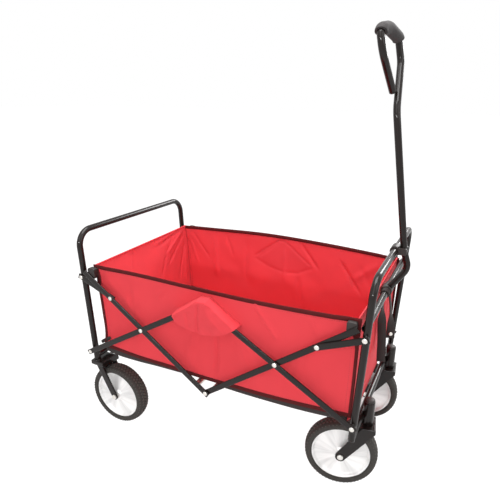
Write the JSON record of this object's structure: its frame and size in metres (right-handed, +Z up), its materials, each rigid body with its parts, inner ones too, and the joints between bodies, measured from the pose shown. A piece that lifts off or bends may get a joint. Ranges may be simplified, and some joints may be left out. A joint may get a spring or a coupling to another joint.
{
  "type": "folding pull wagon",
  "caption": "Collapsible pull wagon: red fabric tub hung in a folding dark steel scissor frame, with plain rear wheels, swivelling front casters and a tilting loop handle.",
  "frame": {"origin": "on the ground, under the middle of the bounding box in X and Y", "axes": "+X to the handle end, +Y to the left side seen from behind, +Z up"},
  "size_m": [0.8236, 0.5048, 1.053],
  "materials": {
    "frame_paint": "semi-gloss dark brown-black powder coat",
    "steel": "bright zinc plated",
    "tyre": "matt with small blocks",
    "wheel_disc": "silver with a spun sheen",
    "red_cloth": "woven polyester, slightly shiny",
    "black_webbing": "matt woven webbing",
    "grip_foam": "matt foam",
    "black_plastic": "moulded, fine grain"
  },
  "bodies": {
    "rear_frame": {"rear_u_tube": "frame_paint", "rear_cross_tube": "frame_paint", "rear_fork_left": "frame_paint", "rear_fork_right": "frame_paint", "rear_axle_bolts": "steel", "rear_pivot_rivets": "steel"},
    "rear_wheel_left": {"rear_tyre_left": "tyre", "rear_rim_left": "wheel_disc"},
    "rear_wheel_right": {"rear_tyre_right": "tyre", "rear_rim_right": "wheel_disc"},
    "rear_risers": {"rear_riser_left": "frame_paint", "rear_riser_right": "frame_paint", "rear_riser_rivets": "steel"},
    "rear_braces": {"rear_brace_left": "frame_paint", "rear_brace_right": "frame_paint", "rear_brace_rivets": "steel", "rear_corner_caps": "black_plastic", "rear_floor_tube": "steel"},
    "front_risers": {"front_riser_left": "frame_paint", "front_riser_right": "frame_paint", "front_riser_rivets": "steel"},
    "front_braces": {"front_brace_left": "frame_paint", "front_brace_right": "frame_paint", "front_brace_rivets": "steel", "front_corner_caps": "black_plastic", "front_floor_tube": "steel"},
    "rear_links": {"rear_link_left": "frame_paint", "rear_link_right": "frame_paint", "rear_link_rivets": "steel"},
    "front_links": {"front_link_left": "frame_paint", "front_link_right": "frame_paint", "front_link_rivets": "steel"},
    "front_frame": {"front_u_tube": "frame_paint", "handle_cross_tube": "frame_paint", "front_cross_tube": "frame_paint", "stem_housings": "frame_paint", "front_pivot_rivets": "steel", "handle_clip": "black_plastic", "hang_strap": "black_webbing", "front_strap": "black_webbing"},
    "caster_left": {"caster_fork_left": "frame_paint", "caster_bolts_left": "steel"},
    "caster_right": {"caster_fork_right": "frame_paint", "caster_bolts_right": "steel"},
    "front_wheel_left": {"front_tyre_left": "tyre", "front_rim_left": "wheel_disc"},
    "front_wheel_right": {"front_tyre_right": "tyre", "front_rim_right": "wheel_disc"},
    "handle": {"handle_pole": "frame_paint", "handle_grip": "grip_foam", "handle_collar": "black_plastic"},
    "tub": {"rear_panel": "red_cloth", "side_rear_left": "red_cloth", "side_rear_right": "red_cloth", "pivot_pockets": "red_cloth"},
    "front_tub": {"front_panel": "red_cloth", "side_front_left": "red_cloth", "side_front_right": "red_cloth"},
    "rear_floor": {"rear_floor_board": "red_cloth"},
    "front_floor": {"front_floor_board": "red_cloth"}
  },
  "joints": [
    {"name": "fold", "type": "hinge", "parent": "rear_frame", "child": "rear_risers", "pos_m": [-0.37435, 0, 0.233], "axis": [0, -1, 0], "range_deg": [0, 40.59], "deforming": ["side_rear_left", "side_rear_right", "side_front_left", "side_front_right", "pivot_pockets"]},
    {"name": "rear_brace_pivot", "type": "hinge", "parent": "rear_risers", "child": "rear_braces", "pos_m": [-0.19207, 0, 0.34007], "axis": [0, -1, 0], "range_deg": [-77.15, 0]},
    {"name": "centre_pivot", "type": "hinge", "parent": "rear_risers", "child": "front_risers", "pos_m": [-0.0085, 0, 0.4479], "axis": [0, -1, 0], "range_deg": [-81.23, 0]},
    {"name": "front_brace_pivot", "type": "hinge", "parent": "front_risers", "child": "front_braces", "pos_m": [0.17507, 0, 0.34007], "axis": [0, -1, 0], "range_deg": [0, 77.15]},
    {"name": "front_low_pivot", "type": "hinge", "parent": "front_risers", "child": "front_frame", "pos_m": [0.35735, 0, 0.233], "axis": [0, -1, 0], "range_deg": [0, 40.64]},
    {"name": "rear_link_pivot", "type": "hinge", "parent": "rear_frame", "child": "rear_links", "pos_m": [-0.3851, 0, 0.448], "axis": [0, -1, 0], "range_deg": [0, 87.76]},
    {"name": "front_link_pivot", "type": "hinge", "parent": "front_frame", "child": "front_links", "pos_m": [0.3681, 0, 0.448], "axis": [0, -1, 0], "range_deg": [-87.76, 0]},
    {"name": "tub_lift", "type": "slide", "parent": "rear_frame", "child": "tub", "axis": [0, 0, 1], "range_m": [0, 0.1706]},
    {"name": "front_tub_lift", "type": "slide", "parent": "front_frame", "child": "front_tub", "axis": [0, 0, 1], "range_m": [0, 0.1706]},
    {"name": "rear_floor_hinge", "type": "hinge", "parent": "tub", "child": "rear_floor", "pos_m": [-0.3551, 0, 0.2385], "axis": [0, -1, 0], "range_deg": [0, 89.35]},
    {"name": "front_floor_hinge", "type": "hinge", "parent": "front_tub", "child": "front_floor", "pos_m": [0.3381, 0, 0.2385], "axis": [0, -1, 0], "range_deg": [-89.35, 0]},
    {"name": "rear_wheel_left_spin", "type": "hinge", "parent": "rear_frame", "child": "rear_wheel_left", "pos_m": [-0.3245, 0.2, 0.088], "axis": [0, 1, 0], "continuous": true},
    {"name": "rear_wheel_right_spin", "type": "hinge", "parent": "rear_frame", "child": "rear_wheel_right", "pos_m": [-0.3245, -0.2, 0.088], "axis": [0, 1, 0], "continuous": true},
    {"name": "caster_left_swivel", "type": "hinge", "parent": "front_frame", "child": "caster_left", "pos_m": [0.3715, 0.135, 0.177], "axis": [0, 0, 1], "continuous": true},
    {"name": "front_wheel_left_spin", "type": "hinge", "parent": "caster_left", "child": "front_wheel_left", "pos_m": [0.31486, 0.12865, 0.088], "axis": [-0.1115, 0.9938, 0], "continuous": true},
    {"name": "caster_right_swivel", "type": "hinge", "parent": "front_frame", "child": "caster_right", "pos_m": [0.3715, -0.135, 0.177], "axis": [0, 0, 1], "continuous": true},
    {"name": "front_wheel_right_spin", "type": "hinge", "parent": "caster_right", "child": "front_wheel_right", "pos_m": [0.31572, -0.14671, 0.088], "axis": [-0.2054, 0.9787, 0], "continuous": true},
    {"name": "handle_swing", "type": "hinge", "parent": "front_frame", "child": "handle", "pos_m": [0.364, 0, 0.466], "axis": [0, 1, 0], "range_deg": [0, 110]}
  ],
  "couplings": [
    {"joint": "rear_brace_pivot", "follows": "fold", "ratio": -1.8995},
    {"joint": "centre_pivot", "follows": "fold", "ratio": -2},
    {"joint": "front_brace_pivot", "follows": "fold", "ratio": 1.8995},
    {"joint": "front_low_pivot", "follows": "fold", "ratio": 1},
    {"joint": "rear_link_pivot", "follows": "fold", "ratio": 2.1608},
    {"joint": "front_link_pivot", "follows": "fold", "ratio": -2.1608},
    {"joint": "tub_lift", "follows": "fold", "m_per_rad": 0.23944},
    {"joint": "front_tub_lift", "follows": "fold", "m_per_rad": 0.23944},
    {"joint": "rear_floor_hinge", "follows": "fold", "ratio": 2.2},
    {"joint": "front_floor_hinge", "follows": "fold", "ratio": -2.2}
  ]
}
